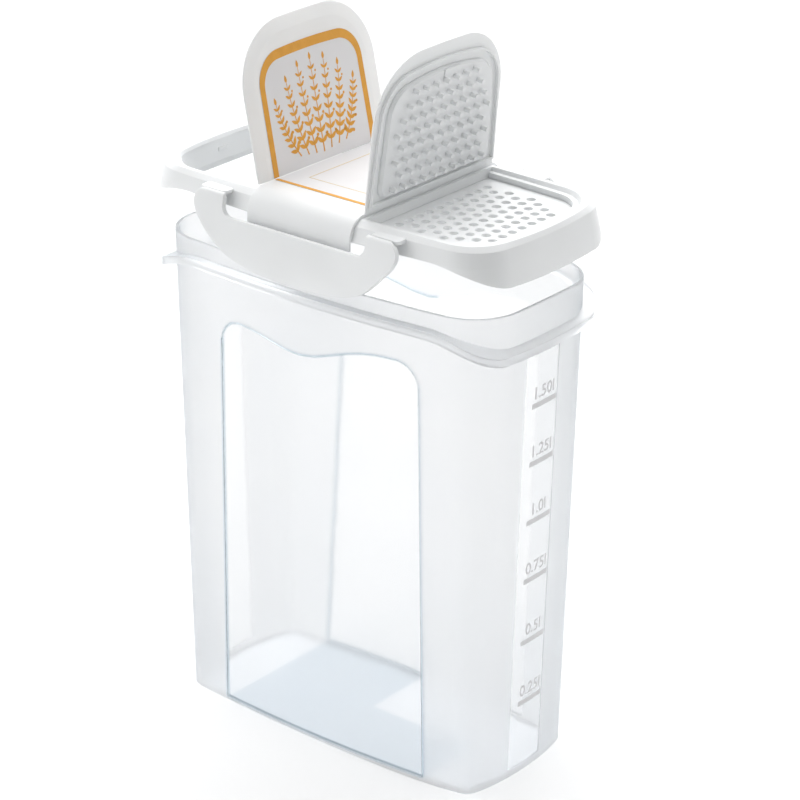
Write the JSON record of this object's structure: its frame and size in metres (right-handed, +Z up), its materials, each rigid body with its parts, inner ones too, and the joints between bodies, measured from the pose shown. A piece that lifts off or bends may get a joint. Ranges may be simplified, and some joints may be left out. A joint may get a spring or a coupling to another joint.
{
  "type": "shaker container",
  "caption": "Tall oval-cornered dry-food container with a lift-off lid that has a pour flap, a sieve under a shaker flap and two locking wings.",
  "frame": {"origin": "centre of the container's base, on the surface it stands on", "axes": "+Z up, +X towards the sieve end, -Y towards the front"},
  "size_m": [0.1668, 0.0984, 0.283],
  "materials": {
    "clear_body": "frosted translucent",
    "white_lid": "satin moulded",
    "printed_film": "printed film, moulded in"
  },
  "bodies": {
    "container": {"container_body": "clear_body"},
    "lid": {"lid_frame": "white_lid", "sieve_plate": "white_lid", "bridge_label": "printed_film"},
    "pour_flap": {"pour_flap": "white_lid", "pour_label": "printed_film"},
    "shaker_flap": {"shaker_flap": "white_lid", "shaker_label": "printed_film"},
    "front_wing": {"front_lock_wing": "white_lid"},
    "rear_wing": {"rear_lock_wing": "white_lid"}
  },
  "joints": [
    {"name": "lid_lift", "type": "slide", "parent": "container", "child": "lid", "axis": [0, 0, 1], "range_m": [-0.0265, 0.06]},
    {"name": "pour_flap_hinge", "type": "hinge", "parent": "lid", "child": "pour_flap", "pos_m": [-0.0243, 0, 0.226], "axis": [0, 1, 0], "range_deg": [-78, 32]},
    {"name": "shaker_flap_hinge", "type": "hinge", "parent": "lid", "child": "shaker_flap", "pos_m": [0.0243, 0, 0.226], "axis": [0, -1, 0], "range_deg": [-84, 26]},
    {"name": "front_wing_hinge", "type": "hinge", "parent": "lid", "child": "front_wing", "pos_m": [0, -0.04515, 0.2231], "axis": [-1, 0, 0], "range_deg": [-10, 86]},
    {"name": "rear_wing_hinge", "type": "hinge", "parent": "lid", "child": "rear_wing", "pos_m": [0, 0.04515, 0.2231], "axis": [1, 0, 0], "range_deg": [-10, 86]}
  ]
}
